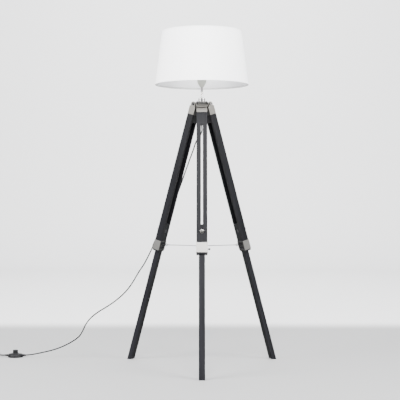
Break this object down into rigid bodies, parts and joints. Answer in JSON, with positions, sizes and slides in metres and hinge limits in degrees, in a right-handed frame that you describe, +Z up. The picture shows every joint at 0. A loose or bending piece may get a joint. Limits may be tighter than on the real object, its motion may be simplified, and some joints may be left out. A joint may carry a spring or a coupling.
{
  "type": "tripod floor lamp",
  "caption": "Tripod floor lamp with telescopic black wooden legs on a metal hub, a tapered white fabric drum shade and a corded foot switch.",
  "frame": {"origin": "on the floor, under the middle of the lamp's own bounding box (cord left out)", "axes": "+Z up; one leg points to -Y, the other two to the back left and back right; the cord runs to -X"},
  "size_m": [1.3485, 0.7252, 1.433],
  "materials": {
    "black_wood": "satin black lacquer over fine grain",
    "nickel": "satin nickel",
    "dark_metal": "blackened steel",
    "shade_cloth": "matt white polycotton laminated on a stiff liner",
    "white_wire": "white powder coat",
    "holder_plastic": "off-white thermoset",
    "opal_glass": "opal",
    "cord_black": "matt PVC",
    "switch_black": "satin moulded plastic"
  },
  "bodies": {
    "root": {"shade_cover": "shade_cloth", "shade_top_ring": "white_wire", "shade_fitter_frame": "white_wire", "shade_ring_nut": "holder_plastic", "lampholder_cup": "holder_plastic", "lampholder_skirt": "holder_plastic", "lampholder_core": "holder_plastic", "bulb_cap": "nickel", "bulb_glass": "opal_glass", "stem_tube": "nickel", "stem_collar": "nickel", "hub_cap": "nickel", "hub_block": "nickel", "hub_lock_nut": "nickel", "cord_gland": "switch_black", "inner_cable": "cord_black", "spreader_ring": "nickel", "front_hinge_bolt": "nickel", "front_hinge_nut": "nickel", "front_stay_wire": "nickel", "right_hinge_bolt": "nickel", "right_hinge_nut": "nickel", "right_stay_wire": "nickel", "left_hinge_bolt": "nickel", "left_hinge_nut": "nickel", "left_stay_wire": "nickel", "cord_drop": "cord_black", "cord_run": "cord_black", "cord_tail": "cord_black", "cord_coil": "cord_black", "switch_base": "switch_black", "switch_cover": "switch_black", "switch_spring_post": "white_wire", "plug": "switch_black"},
    "front_upper": {"front_leg_cap": "nickel", "front_upper_leg": "black_wood", "front_collar": "nickel", "front_eye_bolt": "nickel"},
    "front_lower": {"front_lower_leg": "black_wood", "front_slot_bolt": "dark_metal"},
    "front_wing": {"front_wing_nut": "nickel"},
    "front_screw": {"front_thumb_screw": "dark_metal"},
    "right_upper": {"right_leg_cap": "nickel", "right_upper_leg": "black_wood", "right_collar": "nickel", "right_eye_bolt": "nickel"},
    "right_lower": {"right_lower_leg": "black_wood", "right_slot_bolt": "dark_metal"},
    "right_wing": {"right_wing_nut": "nickel"},
    "right_screw": {"right_thumb_screw": "dark_metal"},
    "left_upper": {"left_leg_cap": "nickel", "left_upper_leg": "black_wood", "left_collar": "nickel", "left_eye_bolt": "nickel", "cable_clip": "white_wire"},
    "left_lower": {"left_lower_leg": "black_wood", "left_slot_bolt": "dark_metal"},
    "left_wing": {"left_wing_nut": "nickel"},
    "left_screw": {"left_thumb_screw": "dark_metal"},
    "button": {"switch_button": "switch_black"}
  },
  "joints": [
    {"name": "front_leg_fold", "type": "hinge", "parent": "root", "child": "front_upper", "pos_m": [0, 0.05828, 1.123], "axis": [1, 0, 0], "range_deg": [0, 15.4], "deforming": ["front_stay_wire"]},
    {"name": "front_leg_slide", "type": "slide", "parent": "front_upper", "child": "front_lower", "axis": [0, 0.2895, 0.9572], "range_m": [0, 0.45]},
    {"name": "front_wing_turn", "type": "hinge", "parent": "front_lower", "child": "front_wing", "pos_m": [0, -0.12083, 0.58272], "axis": [0, -0.9572, 0.2895], "range_deg": [0, 360]},
    {"name": "front_screw_turn", "type": "hinge", "parent": "front_upper", "child": "front_screw", "pos_m": [0, -0.12717, 0.50994], "axis": [1, 0, 0], "range_deg": [0, 360]},
    {"name": "right_leg_fold", "type": "hinge", "parent": "root", "child": "right_upper", "pos_m": [0.02624, 0.10373, 1.123], "axis": [-0.5, 0.866, 0], "range_deg": [0, 15.4], "deforming": ["right_stay_wire"]},
    {"name": "right_leg_slide", "type": "slide", "parent": "right_upper", "child": "right_lower", "axis": [-0.2508, -0.1448, 0.9572], "range_m": [0, 0.45]},
    {"name": "right_wing_turn", "type": "hinge", "parent": "right_lower", "child": "right_wing", "pos_m": [0.18135, 0.19329, 0.58272], "axis": [0.8289, 0.4786, 0.2895], "range_deg": [0, 360]},
    {"name": "right_screw_turn", "type": "hinge", "parent": "right_upper", "child": "right_screw", "pos_m": [0.18685, 0.19646, 0.50994], "axis": [-0.5, 0.866, 0], "range_deg": [0, 360]},
    {"name": "left_leg_fold", "type": "hinge", "parent": "root", "child": "left_upper", "pos_m": [-0.02624, 0.10373, 1.123], "axis": [-0.5, -0.866, 0], "range_deg": [0, 15.4], "deforming": ["left_stay_wire"]},
    {"name": "left_leg_slide", "type": "slide", "parent": "left_upper", "child": "left_lower", "axis": [0.2508, -0.1448, 0.9572], "range_m": [0, 0.45]},
    {"name": "left_wing_turn", "type": "hinge", "parent": "left_lower", "child": "left_wing", "pos_m": [-0.18135, 0.19329, 0.58272], "axis": [-0.8289, 0.4786, 0.2895], "range_deg": [0, 360]},
    {"name": "left_screw_turn", "type": "hinge", "parent": "left_upper", "child": "left_screw", "pos_m": [-0.18685, 0.19646, 0.50994], "axis": [-0.5, -0.866, 0], "range_deg": [0, 360]},
    {"name": "foot_switch_press", "type": "slide", "parent": "root", "child": "button", "axis": [0, 0, -1], "range_m": [0, 0.003], "stiffness_N_per_m": 600, "springref_m": -0.002}
  ],
  "couplings": [
    {"joint": "right_leg_fold", "follows": "front_leg_fold", "ratio": 1},
    {"joint": "left_leg_fold", "follows": "front_leg_fold", "ratio": 1}
  ]
}
